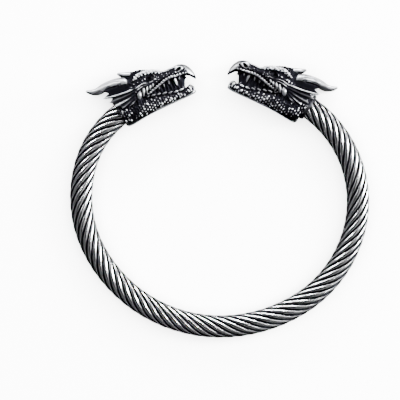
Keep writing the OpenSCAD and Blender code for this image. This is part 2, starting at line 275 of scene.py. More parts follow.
class Sculpture:
    """Half of a head as a grid of distances, along it (u), up it (v) and out from its middle plane (w)."""

    def __init__(self):
        self.u = np.arange(GRID_LOW[0], GRID_HIGH[0], CELL)
        self.v = np.arange(GRID_LOW[1], GRID_HIGH[1], CELL)
        self.w = np.arange(CELL / 2, GRID_HALF, CELL)
        self.field = np.full((len(self.u), len(self.v), len(self.w)), EMPTY, np.float32)

    def region(self, low, high, margin):
        """Slices of the grid round a box, with the coordinates there."""
        spans = []
        for axis, lo, hi in zip((self.u, self.v, self.w), low, high):
            a, b = np.searchsorted(axis, (lo - margin, hi + margin))
            spans.append(slice(max(a, 0), max(b, 1)))
        su, sv, sw = spans
        return (su, sv, sw), (self.u[su][:, None, None], self.v[sv][None, :, None], self.w[sw][None, None, :])

    def add(self, where, part, blend):
        self.field[where] = smooth_union(self.field[where], part, blend)

    def cut(self, where, part, blend):
        self.field[where] = smooth_cut(self.field[where], part, blend)

    def loft(self, rows, power, blend):
        """Adds a solid through sections: place along the head, top, bottom and half thickness."""
        rows = curve_through(rows, LOFT_STEPS)
        low, high = (rows[0, 0], GRID_LOW[1], 0), (rows[-1, 0], GRID_HIGH[1], GRID_HALF)
        where, (u, v, w) = self.region(low, high, LOFT_ROOM)
        top, bottom, half = (np.interp(u, rows[:, 0], rows[:, k]) for k in (1, 2, 3))
        middle, height = (top + bottom) / 2, np.maximum((top - bottom) / 2, 0.05)
        reach = (np.abs((v - middle) / height) ** power + np.abs(w / half) ** power) ** (1 / power)
        away = np.sqrt((v - middle) ** 2 + w ** 2)
        part = away * (1 - 1 / np.maximum(reach, 1e-3))
        part = np.maximum(part, np.maximum(rows[0, 0] - u, u - rows[-1, 0]))
        self.add(where, part.astype(np.float32), blend)

    def rod(self, rows, blend, carve=False, steps=6):
        """Adds or carves a bent rod: place, height, distance out, half height and half thickness."""
        rows = curve_through(rows, steps)
        reach = rows[:, 3:].max(axis=1)[:, None]
        low, high = (rows[:, :3] - reach).min(axis=0), (rows[:, :3] + reach).max(axis=0)
        where, (u, v, w) = self.region(low, high, ROD_ROOM + blend)
        part = np.full(np.broadcast_shapes(u.shape, v.shape, w.shape), FAR, np.float32)
        for a, b in zip(rows, rows[1:]):
            run = b[:3] - a[:3]
            du, dv, dw = u - a[0], v - a[1], w - a[2]
            t = np.clip((du * run[0] + dv * run[1] + dw * run[2]) / max(run @ run, 1e-9), 0, 1)
            rv, rw = a[3] + t * (b[3] - a[3]), a[4] + t * (b[4] - a[4])
            squash = rv / np.maximum(rw, 1e-3)
            off_w = (dw - t * run[2]) * squash
            away = np.sqrt((du - t * run[0]) ** 2 + (dv - t * run[1]) ** 2 + off_w ** 2)
            part = np.minimum(part, (away - rv) * np.minimum(1, 1 / squash))
        (self.cut if carve else self.add)(where, part, blend)

    def ball(self, centre, size, blend, carve=False, slant=0.0):
        """Adds or carves an ellipsoid, turned by its slant in the head's plane."""
        size = np.broadcast_to(np.asarray(size, float), 3)
        centre = np.asarray(centre, float)
        reach = size.max()
        where, (u, v, w) = self.region(centre - reach, centre + reach, BALL_ROOM + blend)
        c, s = math.cos(slant), math.sin(slant)
        du, dv = u - centre[0], v - centre[1]
        scaled = np.sqrt(((du * c + dv * s) / size[0]) ** 2 + ((dv * c - du * s) / size[1]) ** 2
                         + ((w - centre[2]) / size[2]) ** 2)
        part = ((scaled - 1) * size.min()).astype(np.float32)
        (self.cut if carve else self.add)(where, part, blend)

    def skin(self):
        """Points on the surface so far, with the directions in which it faces."""
        gu, gv, gw = np.gradient(self.field, CELL)
        near = np.argwhere(np.abs(self.field) < 0.6 * CELL)
        i, j, k = near.T
        normal = np.stack([gu[i, j, k], gv[i, j, k], gw[i, j, k]], axis=-1)
        normal /= np.maximum(np.linalg.norm(normal, axis=1, keepdims=True), 1e-6)
        points = np.stack([self.u[i], self.v[j], self.w[k]], axis=-1)
        return points - normal * self.field[i, j, k][:, None], normal

    def rim_of_section(self, u, v, angles):
        """Where rays from the middle plane leave the metal; angle 0 points down and 90 degrees out."""
        t = np.arange(RAY_START, RAY_END, RAY_STEP)
        places_v = v - np.cos(angles)[:, None] * t
        places_w = np.sin(angles)[:, None] * t
        places = np.stack([np.full(places_v.size, (u - self.u[0]) / CELL),
                           (places_v.ravel() - self.v[0]) / CELL,
                           np.maximum(places_w.ravel() - self.w[0], 0) / CELL], axis=-1)
        outside = sample(self.field, places).reshape(places_v.shape) > 0
        first = np.where(outside.any(axis=1), outside.argmax(axis=1), len(t) - 1)
        return v - np.cos(angles) * t[first], np.sin(angles) * t[first]


def scatter(points, sizes, rng, room):
    """Numbers of points that keep room times their own size between each other."""
    taken = {}
    bucket = 1.0
    chosen = []
    for n in rng.permutation(len(points)):
        size = sizes[n]
        if size <= 0:
            continue
        p = points[n]
        key = tuple((p // bucket).astype(int))
        near = [m for a in (-1, 0, 1) for b in (-1, 0, 1) for c in (-1, 0, 1)
                for m in taken.get((key[0] + a, key[1] + b, key[2] + c), ())]
        if near and (np.linalg.norm(points[near] - p, axis=1) < room * (size + sizes[near]) / 2).any():
            continue
        taken.setdefault(key, []).append(n)
        chosen.append(n)
    return np.array(chosen)


# Tables of the head

# Most are the part's own, with a fuller beak, a rounder back of the jaw and a lower nostril. A section has a
# place along the head, a top, a bottom and a half thickness
TOP, BOTTOM_EDGE, HALF = 1, 2, 3
SKULL = (
    (0.6, 3.2, -1.5, 2.6), (2.2, 5.0, -1.5, 3.5), (4.2, 6.7, -1.2, 3.9), (6.0, 7.7, -0.4, 4.05),
    (7.6, 8.2, 0.8, 4.0), (9.2, 7.8, 1.7, 3.8), (10.9, 7.0, 2.1, 3.5), (12.5, 6.1, 2.5, 3.1),
    (14.2, 5.0, 2.8, 2.75), (16.0, 4.95, 2.6, 2.6), (17.7, 5.1, 2.15, 2.4), (18.9, 4.8, 1.65, 2.1),
    (19.6, 4.4, 1.2, 1.75), (20.2, 3.75, 0.45, 1.35), (20.7, 2.8, -0.2, 0.9), (21.0, 1.6, 0.15, 0.45))
JAW = (
    (0.2, 2.2, -3.2, 2.8), (0.7, 2.3, -3.6, 3.2), (1.6, 2.4, -3.65, 3.5), (3.6, 2.2, -3.5, 3.75),
    (5.6, 1.8, -3.3, 3.75), (8.6, 1.1, -3.2, 3.4), (12.8, -0.3, -3.25, 2.8), (14.8, -0.9, -3.3, 2.55),
    (16.6, -1.2, -3.35, 2.3), (17.9, -0.95, -3.35, 2.05), (18.8, -0.75, -3.3, 1.75), (19.5, -1.5, -3.05, 1.2))
MOUTH = (
    (5.0, 2.0, -1.0, 1.5), (10.0, 2.4, -1.4, 1.5), (14.0, 3.0, -1.6, 1.5), (16.8, 2.8, -1.9, 1.4),
    (17.7, 2.5, -0.3, 1.2), (18.3, 2.2, 0.9, 1.0), (18.8, 2.0, 0.9, 0.8))

# A rod's row has a place along the head, a height, a distance out, a half height and a half thickness
HEIGHT, HALF_HEIGHT = 1, 3
LARGE_HORN = (
    (5.6, 5.6, 2.4, 1.4, 1.2), (3.4, 6.95, 2.6, 1.4, 1.2), (1.4, 7.6, 2.8, 1.2, 1.05),
    (-0.8, 7.85, 3.0, 1.0, 0.9), (-2.6, 7.65, 3.2, 0.85, 0.75), (-4.1, 8.1, 3.35, 0.62, 0.5),
    (-4.95, 8.75, 3.4, 0.34, 0.28))
SMALL_HORN = (
    (7.6, 7.2, 1.3, 0.9, 0.8), (6.0, 7.9, 1.4, 0.9, 0.75), (4.8, 8.55, 1.55, 0.72, 0.6),
    (3.9, 9.3, 1.65, 0.36, 0.36))
HORN_FOLD = (
    (2.6, 6.3, 3.6, 0.35, 0.35), (0.6, 6.85, 3.85, 0.45, 0.4), (-1.6, 7.0, 3.95, 0.3, 0.3),
    (-3.2, 7.2, 3.9, 0.12, 0.12))
BROW = (
    (13.6, 5.1, 2.5, 0.3, 0.4), (12.2, 5.9, 3.0, 0.6, 0.6), (10.4, 6.5, 3.35, 0.75, 0.65),
    (8.4, 6.7, 3.6, 0.7, 0.65), (6.6, 6.2, 3.7, 0.5, 0.5))
LIP = (
    (7.2, 1.3, 3.12, 0.3, 0.4), (10.9, 2.15, 3.25, 0.4, 0.4), (14.2, 2.95, 2.6, 0.38, 0.35),
    (16.4, 2.75, 2.35, 0.38, 0.35), (18.8, 2.35, 1.8, 0.35, 0.35), (19.9, 1.7, 1.05, 0.3, 0.35))
LOWER_LIP = (
    (7.4, 1.15, 3.1, 0.25, 0.3), (10.8, 0.4, 2.85, 0.25, 0.3), (14.8, -0.9, 2.4, 0.25, 0.3),
    (17.2, -1.05, 2.0, 0.25, 0.3))
SNOUT_HOLLOW = (
    (12.9, 4.35, 3.5, 0.4, 0.3), (14.6, 3.95, 3.25, 0.5, 0.4), (16.3, 3.8, 3.05, 0.45, 0.35),
    (17.1, 3.75, 2.95, 0.25, 0.25))
SNOUT_RIDGE = (
    (12.4, 5.75, 2.5, 0.3, 0.35), (14.2, 4.85, 2.3, 0.28, 0.35), (16.2, 4.8, 2.2, 0.25, 0.35),
    (17.8, 4.75, 1.9, 0.2, 0.3))
CHEEKBONE = (
    (4.9, 3.5, 3.5, 0.3, 0.3), (6.6, 3.9, 4.1, 0.4, 0.35), (8.6, 4.1, 3.85, 0.35, 0.35),
    (10.2, 3.3, 3.3, 0.25, 0.3))

# The frill, in the head's plane: roots and tips of its five ribs, and the skin's edge between them. The
# nape is the skin's corner behind the large horn
FRILL_ROOTS = ((6.1, 4.15), (5.7, 3.45), (5.35, 2.8), (5.1, 2.2), (5.15, 1.65))
FRILL_TIPS = ((-1.9, 5.4), (-0.95, 3.75), (-0.25, 2.3), (1.2, 1.2), (3.05, 0.88))
FRILL_WEBS = ((0.1, 4.5), (0.3, 2.95), (1.0, 1.9), (2.25, 1.4))
FRILL_SKIN_W = 3.9
FRILL_SKIN_HALF = 0.17
NAPE = ((4.3, 6.35), (-1.3, 7.05), (-0.3, 5.95))
NAPE_SKIN_W = 3.5
NAPE_SKIN_HALF = 0.2
SKIN_LOW_W = 3.0
SKIN_ROOM = 0.5
RIB_ROOT_R = 0.34
RIB_THINNER = 0.03
RIB_SAG = (0.35, 0.1, 0.1, 0.1, 0.1)

# How far round the frill no scales are, and how far out that holds
FRILL_CLEAR = 0.3
FRILL_CLEAR_W = 2.2

# Plates of the cheek: place, height, width and length
CHEEK_PLATES = (
    (6.35, 2.25, 1.35, 2.7), (7.65, 2.45, 0.8, 2.2), (8.65, 2.65, 0.7, 1.8), (9.6, 2.8, 0.62, 1.4),
    (10.45, 3.0, 0.55, 1.1))
CHEEK_LEAN = 0.6

# Teeth: place, base height, distance out, length (down is negative) and base radius
TEETH = (
    (18.45, 2.15, 1.2, -1.25, 0.4), (17.1, 2.3, 1.5, -1.1, 0.4), (15.9, 2.6, 1.7, -2.5, 0.52),
    (14.3, 2.7, 1.75, -1.4, 0.4), (12.9, 2.5, 1.75, -1.3, 0.4), (11.5, 2.2, 1.75, -1.2, 0.4),
    (17.0, -1.3, 1.4, 1.2, 0.4), (15.0, -1.0, 1.6, 1.0, 0.4), (13.3, -0.5, 1.65, 0.9, 0.4),
    (11.8, -0.1, 1.65, 0.8, 0.4))
TOOTH_ROOT = 0.6
TOOTH_TIP_R = 0.07

# Eye and nostril, and how far from the nostril its pits are
EYE = (10.8, 4.9, 3.35)
EYE_R = 0.6
NOSTRIL = (17.9, 3.85, 2.35)
NOSTRIL_PITS = ((-1.2, -0.65), (0.9, -0.75), (1.4, -0.45))
NOSTRIL_PIT_R = 0.28

# Grooves of the large horn: share of its half height that they are over its axis, and how many sections long
HORN_GROOVES = ((0.75, 4), (0.35, 4), (-0.1, 3))

# Beads along lips and brow: steps of their path between sections, bare end, and range of sizes
BEAD_PATH_STEPS = 12
BEAD_END = 0.15
BEAD_SIZES = (0.85, 1.1)

# First, end and step along the head, of the plates of the belly and the ridges of the palate
BELLY_PLATES = (1.2, 18.6, 0.95)
PALATE_RIDGES = (7.5, 16.5, 0.85)

# Pebble scales on the neck, the crown, the cheek and the snout: size, and the spans of place, height and
# distance out that have it. A later row goes over an earlier one
ANYWHERE = (-99.0, 99.0)
PEBBLES = (
    (0.36, (-99.0, 6.0), (3.2, 99.0), ANYWHERE),
    (0.31, (4.6, 13.4), (5.1, 99.0), ANYWHERE),
    (0.3, (2.0, 8.6), (4.2, 5.6), (2.0, 99.0)),
    (0.24, (11.4, 17.2), (3.3, 4.5), ANYWHERE))
PEBBLE_TRIES = 26000
PEBBLE_ROOM = 1.95
PEBBLE_SINK = 0.3
PEBBLE_SIZES = (0.75, 1.2)
PEBBLE_SLANTS = (-0.9, 0.5)
PEBBLE_LONG = 1.05
CROWN_LONG = 1.25
CROWN_V = 5.1

# Scales of the jaw, in rows across it: start, end and step of the rows, step in a row, size and its range,
# slant, and the bare edge over the belly
JAW_SCALE_ROWS = (0.0, 19.3, 0.66)
JAW_SCALE_PITCH = 0.7
JAW_SCALE_R = 0.35
JAW_SCALE_SIZES = (0.78, 1.1)
JAW_SCALE_SLANT = 0.25
JAW_EDGE = 0.7

# Rays that find its surface: first and last angle, and count. Then what its side and the throat each have:
# last angle, share of the size, looseness, and share of the bare edge
JAW_RAYS = (40, 135, 50)
ON_SIDE = (92, 1.0, 0.08, 1.0)
ON_THROAT = (135, 0.8, 0.14, 0.4)
THROAT_END = 5.2
THROAT_CENTRE = 1.2
UNDER_LIP = 0.75
LIP_REACH = 1.2


def at_place(rows, u, column):
    """A column of a table at places along the head."""
    rows = sorted(rows)
    return np.interp(u, [row[0] for row in rows], [row[column] for row in rows])


def frill_outline():
    ring = [FRILL_ROOTS[0]]
    for n, tip in enumerate(FRILL_TIPS):
        ring.append(tip)
        if n < len(FRILL_WEBS):
            ring.append(FRILL_WEBS[n])
    return np.array(ring + list(FRILL_ROOTS[:0:-1]))


def nape_outline():
    return np.array(NAPE + (FRILL_TIPS[0], FRILL_ROOTS[0]))


def thinned(rows, up, out, share_v, share_w):
    """A rod's rows, moved up and out and made thinner."""
    return [(u, v + up, w + out, rv * share_v, rw * share_w) for u, v, w, rv, rw in rows]


def add_jaw_scales(head, rng):
    """Rows of raised scales on the side of the jaw up to its lips, and on round the throat and the neck."""
    angles = np.radians(np.linspace(*JAW_RAYS))
    frill = frill_outline()
    for station, u in enumerate(np.arange(*JAW_SCALE_ROWS)):
        throat = u < THROAT_END
        last, share, loose, edge_share = ON_THROAT if throat else ON_SIDE
        centre = THROAT_CENTRE if throat else at_place(JAW, u, TOP) - UNDER_LIP
        edge = at_place(JAW, u, BOTTOM_EDGE) + JAW_EDGE * edge_share
        v, w = head.rim_of_section(u, centre, angles[angles <= math.radians(last)])
        run = np.concatenate([[0], np.cumsum(np.hypot(np.diff(v), np.diff(w)))])
        first = 0.1 if station % 2 else 0.1 + JAW_SCALE_PITCH / 2
        for s in np.arange(first, run[-1], JAW_SCALE_PITCH):
            near_lip = np.clip(1 - (run[-1] - s) / LIP_REACH, 0, 1) * (not throat)
            at = np.array([u, np.interp(s, run, v), np.interp(s, run, w)]) + rng.uniform(-loose, loose, 3)
            size = JAW_SCALE_R * rng.uniform(*JAW_SCALE_SIZES) * share
            if distance_to_polygon(at[0], at[1], frill) > FRILL_CLEAR and at[1] > edge:
                sizes = (size * 0.85, size * (1.2 + 0.3 * near_lip), size * 0.85)
                head.ball(at, sizes, blend=0.02, slant=JAW_SCALE_SLANT)


def add_belly(head):
    """Broad plates across the underside of the jaw, and a smooth edge beside them."""
    for u in np.arange(*BELLY_PLATES):
        bottom = at_place(JAW, u, BOTTOM_EDGE)
        groove = ((u, bottom - 0.04, 0.0, 0.12, 0.12), (u + 0.12, bottom - 0.04, 0.9, 0.12, 0.12),
                  (u + 0.3, bottom + 0.04, 1.5, 0.06, 0.1))
        head.rod(groove, blend=0.08, carve=True, steps=3)
    edge = [(u, bottom + 0.36, 0.72 * half, 0.26, 0.32) for u, _, bottom, half in JAW[5:-1]]
    head.rod(edge, blend=0.1)


def add_pebbles(head, rng):
    """Small scales on neck, crown, cheek and snout, longest on the crown, and none on the frill."""
    points, normal = head.skin()
    pick = rng.permutation(len(points))[:PEBBLE_TRIES]
    points, normal = points[pick], normal[pick]
    u, v, w = points.T
    size = np.zeros(len(u))
    for pebble, *spans in PEBBLES:
        inside = [(low < x) & (x < high) for x, (low, high) in zip((u, v, w), spans)]
        size[np.all(inside, axis=0)] = pebble
    size[(distance_to_polygon(u, v, frill_outline()) < FRILL_CLEAR) & (w > FRILL_CLEAR_W)] = 0
    size *= rng.uniform(*PEBBLE_SIZES, len(size))
    for n in scatter(points, size, rng, PEBBLE_ROOM):
        r = size[n]
        long = CROWN_LONG if v[n] > CROWN_V else PEBBLE_LONG
        centre = points[n] - normal[n] * r * PEBBLE_SINK
        head.ball(centre, (r * long, r / long, r), blend=0.02, slant=rng.uniform(*PEBBLE_SLANTS))


def add_teeth(head):
    """Pointed teeth, with roots that reach into the jaws."""
    for u, v, w, length, r in TEETH:
        root = TOOTH_ROOT if length < 0 else -TOOTH_ROOT
        head.rod(((u + 0.1, v + root, w, r, r), (u, v + length * 0.4, w, r * 0.72, r * 0.72),
                  (u - 0.12, v + length, w - 0.05, TOOTH_TIP_R, TOOTH_TIP_R)), blend=0.05, steps=4)


def add_flat_skin(head, ring, middle, half, blend):
    """A thin skin with an outline in the head's plane, at a distance out from its middle."""
    low, high = (*ring.min(axis=0), SKIN_LOW_W), (*ring.max(axis=0), middle + SKIN_ROOM)
    where, (u, v, w) = head.region(low, high, SKIN_ROOM)
    flat = distance_to_polygon(u[..., 0], v[..., 0], ring)[..., None]
    head.add(where, np.maximum(flat, np.abs(w - middle) - half).astype(np.float32), blend)


def add_frill(head):
    """A thin scalloped skin, the nape's deeper skin beside it, and ribs that sweep back from the cheek."""
    add_flat_skin(head, frill_outline(), FRILL_SKIN_W, FRILL_SKIN_HALF, blend=0.15)
    add_flat_skin(head, nape_outline(), NAPE_SKIN_W, NAPE_SKIN_HALF, blend=0.1)
    for n, (root, tip, sag) in enumerate(zip(FRILL_ROOTS, FRILL_TIPS, RIB_SAG)):
        thick = RIB_ROOT_R - RIB_THINNER * n
        middle = ((root[0] + tip[0]) / 2, (root[1] + tip[1]) / 2 - sag)
        head.rod(((*root, FRILL_SKIN_W, thick, thick),
                  (*middle, FRILL_SKIN_W + 0.17, thick * 0.8, thick * 0.9),
                  (*tip, FRILL_SKIN_W + 0.1, 0.14, 0.15)), blend=0.06)


def add_cheek(head):
    """Slanted plates that get shorter to the front, under a double cheekbone."""
    for u, v, width, length in CHEEK_PLATES:
        r = width / 2
        rise = (length - width) / 2
        back = rise * CHEEK_LEAN
        face = at_place(SKULL, u, HALF)
        head.rod(((u + back, v + rise, face - 0.1, r * 0.7, 0.4), (u, v, face, r * 0.88, 0.5),
                  (u - back, v - rise, face - 0.15, r * 0.75, 0.4)), blend=0.02, steps=3)
    for lift in (0.28, -0.28):
        head.rod(thinned(CHEEKBONE, lift, 0.0, 0.5, 0.9), blend=0.05)


def beads_along(head, rows, rng, first, step, size, lift):
    """Beads of a size (along, up, out) on a rod's rows, lifted off it (up, out)."""
    path = curve_through(rows, BEAD_PATH_STEPS)
    run = np.concatenate([[0], np.cumsum(np.linalg.norm(np.diff(path[:, :3], axis=0), axis=1))])
    for s in np.arange(first, run[-1] - BEAD_END, step):
        u, v, w = (np.interp(s, run, path[:, k]) for k in range(3))
        head.ball((u, v + lift[0], w + lift[1]), np.array(size) * rng.uniform(*BEAD_SIZES), blend=0.02)


def add_lips(head, rng):
    head.rod(thinned(LIP, -0.15, -0.1, 0.4, 0.7), blend=0.06)
    beads_along(head, LIP, rng, first=0.5, step=0.74, size=(0.31, 0.27, 0.32), lift=(0.05, 0.1))
    beads_along(head, LOWER_LIP, rng, first=0.6, step=1.45, size=(0.6, 0.22, 0.3), lift=(0.02, 0.1))


def add_brow(head):
    head.rod(thinned(BROW, 0.0, 0.0, 0.7, 0.7), blend=0.25)


def add_brow_beads(head, rng):
    beads_along(head, BROW, rng, first=0.3, step=0.66, size=(0.27, 0.27, 0.27), lift=(0.42, 0.2))
    beads_along(head, BROW, rng, first=0.6, step=0.9, size=(0.3, 0.22, 0.25), lift=(-0.3, 0.3))


def add_eye(head):
    """A ball in a hollow, between two lids that slant with it."""
    u, v, w = EYE
    head.ball((u, v, w + 0.35), (1.5, 0.8, 1.15), blend=0.15, carve=True, slant=0.15)
    head.ball((u + 0.1, v - 0.05, w - EYE_R * 1.05), EYE_R, blend=0)
    for start, rise in ((0.0, 0.62), (math.pi, 0.5)):
        lid = [(u + 1.05 * math.cos(a), v + rise * math.sin(a) + 0.12 * math.cos(a), w - 0.12, 0.13, 0.14)
               for a in np.linspace(start, start + math.pi, 7)]
        head.rod(lid, blend=0.05, steps=3)


def add_snout(head):
    """The ridge over the snout and the hollow of its side."""
    head.rod(SNOUT_HOLLOW, blend=0.35, carve=True)
    head.rod(SNOUT_RIDGE, blend=0.2)


def add_nostril(head):
    """The nostril with its raised rim, and small pits beside it."""
    u, v, w = NOSTRIL
    head.ball((u, v + 0.1, w - 0.35), (1.15, 0.75, 0.6), blend=0.3, slant=-0.2)
    head.ball((u, v, w + 0.15), (0.8, 0.42, 0.8), blend=0.06, carve=True, slant=0.25)
    for du, dv in NOSTRIL_PITS:
        head.ball((u + du, v + dv, w + 0.06 - 0.3 * max(du, 0)), NOSTRIL_PIT_R, blend=0.03, carve=True)


def add_horns(head):
    """Both horns, a fold under the large one, and grooves along both."""
    head.rod(LARGE_HORN, blend=0.3)
    head.rod(SMALL_HORN, blend=0.25)
    head.rod(HORN_FOLD, blend=0.15, carve=True)
    for share, reach in HORN_GROOVES:
        groove = [(u, v + share * rv, w + math.sqrt(1 - share ** 2) * rw + 0.02, 0.13, 0.13)
                  for u, v, w, rv, rw in LARGE_HORN[1:reach + 1]]
        groove[-1] = (*groove[-1][:3], 0.04, 0.04)
        head.rod(groove, blend=0.08, carve=True)
    groove = [(u, v - 0.5 * rv, w + 0.86 * rw, 0.12, 0.12) for u, v, w, rv, rw in SMALL_HORN[1:]]
    head.rod(groove, blend=0.06, carve=True)


def add_palate(head):
    """Low ridges across the inside of the mouth."""
    for u in np.arange(*PALATE_RIDGES):
        foot = at_place(JAW, u, TOP)
        head.rod(((u, foot, 1.45, 0.14, 0.2), (u + 0.15, foot + 2.9, 1.5, 0.14, 0.2)), blend=0.08, steps=2)


def sculpt_head(side):
    rng = np.random.default_rng(SEED)
    head = Sculpture()
    head.loft(SKULL, power=2.5, blend=0)
    head.loft(JAW, power=2.6, blend=0.5)
    add_sleeve(head, side)
    add_brow(head)
    add_snout(head)
    add_pebbles(head, rng)
    add_jaw_scales(head, rng)
    add_belly(head)
    head.loft(MOUTH, power=4.0, blend=0.15)
    add_palate(head)
    add_brow_beads(head, rng)
    add_eye(head)
    add_nostril(head)
    add_cheek(head)
    add_lips(head, rng)
    add_horns(head)
    add_frill(head)
    add_teeth(head)
    cut_socket(head, side)
    return head


# Where a head meets the rope

# Reach of the grid that is worked on there, along the head, up and out, and how far in front of the neck's
# end metal is cleared
SLEEVE_SPAN = (-3.5, 5.0)
SLEEVE_TOP = 6.5
SLEEVE_HALF = 4.2
CLEARED = 3.0


def head_to_ring(points, side):
    """Head places (u, v, w) to the ring's own frame."""
    u, v, w = np.asarray(points, float).T
    c, s = math.cos(HEAD_RISE), math.sin(HEAD_RISE)
    neck = NECKS[side]
    return np.stack([neck[0] + HANDS[side] * (u * c - v * s), neck[1] + u * s + v * c, w], axis=-1)


def rope_in_head(side):
    """The rope's mouth, and the direction in which it goes in, in a head's own places."""
    hand = HANDS[side]
    mouth = MOUTHS[side]
    x, y, _ = rope_at(mouth)
    heading = rope_at(mouth - hand * SOCKET_DEPTH / 2)[2] + (math.pi if side == "left" else 0)
    c, s = math.cos(HEAD_RISE), math.sin(HEAD_RISE)
    dx, dy = hand * (x - NECKS[side][0]), y - NECKS[side][1]
    ax, ay = hand * math.cos(heading), math.sin(heading)
    return (dx * c + dy * s, dy * c - dx * s), (ax * c + ay * s, ay * c - ax * s)


def along_and_off(u, v, w, side):
    """How far places of a head lie along the rope from its mouth, and how far off its centreline."""
    (mu, mv), (au, av) = rope_in_head(side)
    along = (u - mu) * au + (v - mv) * av
    return along, np.sqrt(((v - mv) * au - (u - mu) * av) ** 2 + w ** 2)


def near_mouth(head, side):
    """The part of the grid that the rope's end is in, with its places along and off the rope."""
    mouth_u = rope_in_head(side)[0][0]
    low = (mouth_u + SLEEVE_SPAN[0], GRID_LOW[1], 0)
    high = (mouth_u + SLEEVE_SPAN[1], SLEEVE_TOP, SLEEVE_HALF)
    where, places = head.region(low, high, 0)
    return where, *along_and_off(*places, side)


def add_sleeve(head, side):
    """The neck's sleeve round the rope, thinnest at its lip."""
    where, along, off = near_mouth(head, side)
    wall = LIP_WALL + LIP_WALL * np.clip(along / SOCKET_DEPTH, 0, 1)
    sleeve = np.maximum(off - BORE_R - wall, np.maximum(-along, along - SOCKET_DEPTH))
    head.add(where, sleeve.astype(np.float32), 0.25)


def cut_socket(head, side):
    """The hollow that the rope goes into, which also clears whatever reached past the neck's end."""
    where, along, off = near_mouth(head, side)
    hollow = np.maximum(off - BORE_R, np.maximum(-CLEARED - along, along - SOCKET_DEPTH - SOCKET_GAP))
    head.cut(where, hollow.astype(np.float32), 0.0)


# From the field to a mesh

def blurred(field, reach):
    """The field averaged over a box of this half width in cells, twice."""
    for _ in range(2):
        for axis in range(3):
            padding = [(reach + 1, reach) if a == axis else (0, 0) for a in range(3)]
            total = np.cumsum(np.pad(field, padding, mode="edge"), axis=axis, dtype=np.float64)
            size = field.shape[axis]
            high = np.take(total, np.arange(2 * reach + 1, 2 * reach + 1 + size), axis=axis)
            low = np.take(total, np.arange(size), axis=axis)
            field = ((high - low) / (2 * reach + 1)).astype(np.float32)
    return field


def surface_of(field):
    """Points, in cells, and quads of the surface where a field is zero: one point in each cell it crosses."""
    inside = field < 0
    shape = tuple(n - 1 for n in field.shape)
    count = np.zeros(shape, np.int8)
    for a, b, c in np.ndindex(2, 2, 2):
        count += inside[a:a + shape[0], b:b + shape[1], c:c + shape[2]]
    corners = np.array(list(np.ndindex(2, 2, 2)))
    cells = np.argwhere((count > 0) & (count < len(corners)))
    values = np.stack([field[tuple((cells + corner).T)] for corner in corners], axis=1)
    places = np.zeros((len(cells), 3))
    hits = np.zeros(len(cells))
    for a in range(len(corners)):
        for b in range(a + 1, len(corners)):
            if np.abs(corners[a] - corners[b]).sum() != 1:
                continue
            va, vb = values[:, a], values[:, b]
            crosses = (va < 0) != (vb < 0)
            t = np.where(crosses, va / np.where(crosses, va - vb, 1), 0)
            places += np.where(crosses[:, None], corners[a] + t[:, None] * (corners[b] - corners[a]), 0)
            hits += crosses
    points = cells + places / hits[:, None]
    number = np.full(shape, -1, np.int64)
    number[tuple(cells.T)] = np.arange(len(cells))
    quads = []
    for axis in range(3):
        b, c = (axis + 1) % 3, (axis + 2) % 3
        back_b, back_c = np.eye(3, dtype=int)[b], np.eye(3, dtype=int)[c]
        here, there = [slice(None)] * 3, [slice(None)] * 3
        here[axis], there[axis] = slice(0, -1), slice(1, None)
        change = inside[tuple(here)] != inside[tuple(there)]
        for sense in (True, False):
            edges = np.argwhere(change & (inside[tuple(here)] == sense))
            ok = (edges[:, b] > 0) & (edges[:, c] > 0) & (edges[:, b] < shape[b]) & (edges[:, c] < shape[c])
            edges = edges[ok]
            ring = [edges - back_b - back_c, edges - back_c, edges, edges - back_b]
            quad = np.stack([number[tuple(r.T)] for r in ring], axis=1)
            quads.append(quad if sense else quad[:, ::-1])
    return points, np.vstack(quads)


# Patina

# Relief is a point's height over the blurred form in millimetres, less its grime: what is low is black, as
# patina in small hollows and, through the wide blur, as painted shade deep in wide hollows. Held patina and
# painted shade, from
# 0 to 1, is black whatever the form
FINE_BLUR = 2
WIDE_SHADE_BLUR = 6
WIDE_SHADE_SHARE = 0.35
JAW_GRIME = 0.085
NECK_GRIME = 0.09
SNOUT_GRIME = 0.05
CROWN_GRIME = 0.06
BARE_RELIEF = 0.13

# How dull with painted shade each rib of the frill is, from the top one down, and how high on the large horn
# the painted shade reaches
RIB_PAINTED_SHADE = {"left": (0.0, 0.93, 0.1, 0.85, 0.75), "right": (0.0, 0.97, 0.85, 0.1, 0.9)}
HORN_SHADE_REACH = {"left": 0.05, "right": 0.25}

# Spots of painted shade in the head's plane: centre, half length and half height, share that fades, and how
# black. They are the fold under the large horn, the eye, the corner of the mouth and the nostril
SHADE_SPOTS = (
    ((0.6, 6.7), (3.4, 0.75), 0.4, 1.0),
    (EYE[:2], (1.6, 0.9), 0.25, 0.85),
    ((5.2, 0.1), (1.9, 1.4), 0.5, 0.75),
    (NOSTRIL[:2], (0.85, 0.48), 0.3, 1.0))


def soft(value, low, high):
    """0 at low and 1 at high, and straight between them."""
    return np.clip((value - low) / (high - low), 0, 1)


def band(value, start, full, fade, end):
    """1 between full and fade, and 0 up to start and from end."""
    return soft(value, start, full) * soft(value, end, fade)


